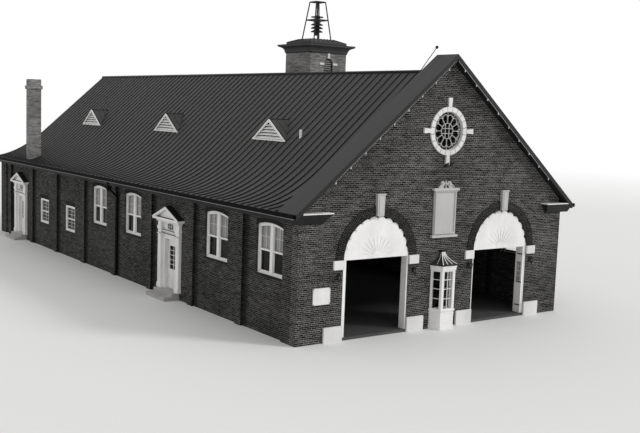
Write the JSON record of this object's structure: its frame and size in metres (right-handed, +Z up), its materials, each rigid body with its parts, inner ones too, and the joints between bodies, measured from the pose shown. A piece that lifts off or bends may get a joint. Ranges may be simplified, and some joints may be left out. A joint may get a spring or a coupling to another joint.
{
  "type": "fire station building",
  "caption": "Brick fire station with two arched engine bays, a seamed roof with flared eaves, a hose tower with a siren, and side doors that open.",
  "frame": {"origin": "centre of the building's footprint, on the ground", "axes": "+X to the right seen from the front, +Y from the front to the rear, +Z up"},
  "size_m": [14.28, 32.86, 13.24],
  "materials": {
    "concrete": "matt",
    "front_brick": "matt",
    "brick": "matt",
    "trim_stone": "matt",
    "roof_metal": "satin",
    "dark_metal": "satin",
    "white_paint": "painted, satin",
    "glass": "clear"
  },
  "bodies": {
    "building": {"floor_slab": "concrete", "front_wall": "front_brick", "left_wall_front": "brick", "left_wall_over_middle_door": "brick", "left_wall_middle": "brick", "left_wall_over_rear_door": "brick", "left_wall_rear": "brick", "right_wall": "brick", "rear_wall": "brick", "main_roof": "roof_metal", "front_roof_strip": "roof_metal", "eave_cornices": "dark_metal", "gable_returns": "dark_metal", "gutters": "dark_metal", "downspouts": "dark_metal", "ridge_rod": "dark_metal", "vent_gablets": "roof_metal", "vent_louvres": "white_paint", "vent_pipe": "dark_metal", "tower_walls": "brick", "tower_cornice": "dark_metal", "tower_louvres": "white_paint", "siren_frame": "dark_metal", "siren": "dark_metal", "chimney": "brick", "window_frames": "white_paint", "window_sills": "trim_stone", "window_glass": "glass", "door_surrounds": "white_paint", "door_steps": "concrete", "engine_bay_frames": "white_paint", "engine_doors": "white_paint", "arch_rings": "front_brick", "stone_trim": "trim_stone", "oculus_tracery": "white_paint", "front_glass": "glass", "cant_bay_frame": "white_paint", "cant_bay_roof": "roof_metal", "tablet": "trim_stone", "notice_board": "white_paint", "wall_lamps": "dark_metal"},
    "middle_door": {"middle_door_leaf": "white_paint", "middle_door_glass": "glass"},
    "rear_door": {"rear_door_leaf": "white_paint", "rear_door_glass": "glass"}
  },
  "joints": [
    {"name": "middle_door_hinge", "type": "hinge", "parent": "building", "child": "middle_door", "pos_m": [-6.305, -6.016, 1.348], "axis": [0, 0, 1], "range_deg": [0, 90]},
    {"name": "rear_door_hinge", "type": "hinge", "parent": "building", "child": "rear_door", "pos_m": [-6.305, 12.984, 1.348], "axis": [0, 0, 1], "range_deg": [0, 90]}
  ]
}
